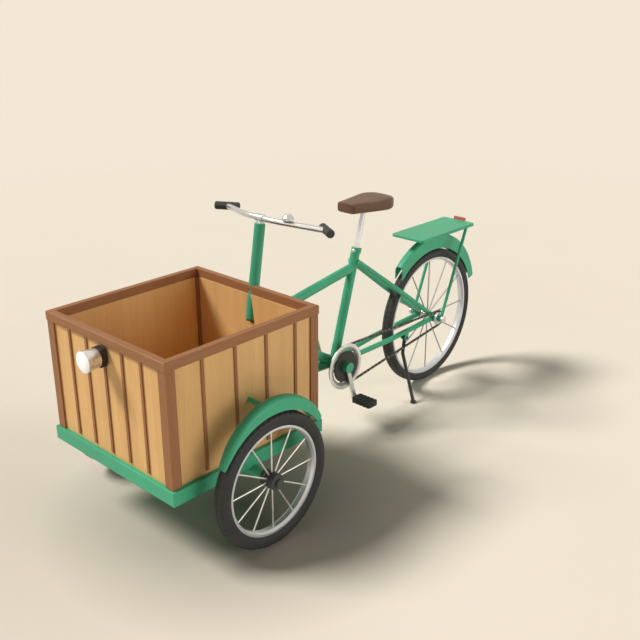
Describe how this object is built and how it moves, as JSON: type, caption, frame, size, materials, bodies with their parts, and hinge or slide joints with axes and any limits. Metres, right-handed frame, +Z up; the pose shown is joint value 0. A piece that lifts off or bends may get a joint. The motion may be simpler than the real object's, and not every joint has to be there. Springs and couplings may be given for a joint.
{
  "type": "cargo tricycle",
  "caption": "Pedal cargo tricycle with a wooden load box between its front wheels, steered by turning the box, with a driven rear wheel and rack.",
  "frame": {"origin": "on the ground below the middle of the vehicle's length and width", "axes": "+X forward, towards the load box; +Y the vehicle's left; +Z up"},
  "size_m": [2.2704, 0.941, 1.0626],
  "materials": {
    "green_paint": "satin paint",
    "plank_wood": "oiled planks",
    "dark_wood": "stained hardwood",
    "floor_wood": "oiled boards",
    "bright_metal": "polished",
    "spoke_metal": "satin",
    "tyre_rubber": "matt",
    "black_rubber": "matt",
    "black_metal": "satin black",
    "saddle_leather": "worn brown",
    "lens_glass": "clear",
    "red_lens": "moulded reflector",
    "chain_steel": "oiled"
  },
  "bodies": {
    "rear_frame": {"head_tube": "green_paint", "top_tube": "green_paint", "lower_tube": "green_paint", "down_tube": "green_paint", "seat_tube": "green_paint", "chain_stays": "green_paint", "seat_stays": "green_paint", "seat_post": "bright_metal", "saddle": "saddle_leather", "rear_fender": "green_paint", "rack_deck": "green_paint", "rack_struts": "green_paint", "reflector": "red_lens", "chain": "chain_steel", "stand_lug": "green_paint"},
    "box_assembly": {"tray": "green_paint", "box_floor": "floor_wood", "box_wall_front": "plank_wood", "box_wall_rear": "plank_wood", "box_wall_left": "plank_wood", "box_wall_right": "plank_wood", "corner_posts": "dark_wood", "battens": "dark_wood", "top_rail": "dark_wood", "front_axle": "green_paint", "front_fender_left": "green_paint", "front_fender_right": "green_paint", "lamp_block": "black_metal", "lamp_shell": "bright_metal", "lamp_lens": "lens_glass", "column": "green_paint", "column_strap": "black_metal", "handlebar": "bright_metal", "grips": "black_rubber", "stem_clamp": "bright_metal", "bell": "bright_metal", "pivot_bracket": "green_paint", "pivot_pin": "black_metal"},
    "front_wheel_left": {"front_tyre_left": "tyre_rubber", "front_rim_left": "bright_metal", "front_hub_left": "black_metal"},
    "front_wheel_right": {"front_tyre_right": "tyre_rubber", "front_rim_right": "bright_metal", "front_hub_right": "black_metal"},
    "rear_wheel": {"rear_tyre": "tyre_rubber", "rear_rim": "bright_metal", "rear_hub": "black_metal", "rear_axle": "bright_metal", "rear_sprocket": "spoke_metal"},
    "crankset": {"chainring": "bright_metal", "guard_disc": "black_metal", "cranks": "bright_metal"},
    "pedal_left": {"pedal_left": "black_rubber"},
    "pedal_right": {"pedal_right": "black_rubber"},
    "kickstand": {"kickstand": "black_metal"}
  },
  "joints": [
    {"name": "steering", "type": "hinge", "parent": "rear_frame", "child": "box_assembly", "pos_m": [0.30617, 0, 0.482], "axis": [0, 0, 1], "range_deg": [-35, 35]},
    {"name": "front_wheel_left_spin", "type": "hinge", "parent": "box_assembly", "child": "front_wheel_left", "pos_m": [0.70017, 0.431, 0.253], "axis": [0, 1, 0], "continuous": true},
    {"name": "front_wheel_right_spin", "type": "hinge", "parent": "box_assembly", "child": "front_wheel_right", "pos_m": [0.70017, -0.431, 0.253], "axis": [0, 1, 0], "continuous": true},
    {"name": "rear_wheel_spin", "type": "hinge", "parent": "rear_frame", "child": "rear_wheel", "pos_m": [-0.77783, 0, 0.33], "axis": [0, 1, 0], "continuous": true},
    {"name": "crank_spin", "type": "hinge", "parent": "rear_frame", "child": "crankset", "pos_m": [-0.09683, 0, 0.304], "axis": [0, 1, 0], "continuous": true},
    {"name": "pedal_left_spin", "type": "hinge", "parent": "crankset", "child": "pedal_left", "pos_m": [-0.14795, 0.083, 0.14187], "axis": [0, 1, 0], "continuous": true},
    {"name": "pedal_right_spin", "type": "hinge", "parent": "crankset", "child": "pedal_right", "pos_m": [-0.04571, -0.083, 0.46613], "axis": [0, 1, 0], "continuous": true},
    {"name": "kickstand_fold", "type": "hinge", "parent": "rear_frame", "child": "kickstand", "pos_m": [-0.547, 0.042, 0.29619], "axis": [0, 1, 0], "range_deg": [0, 68]}
  ]
}
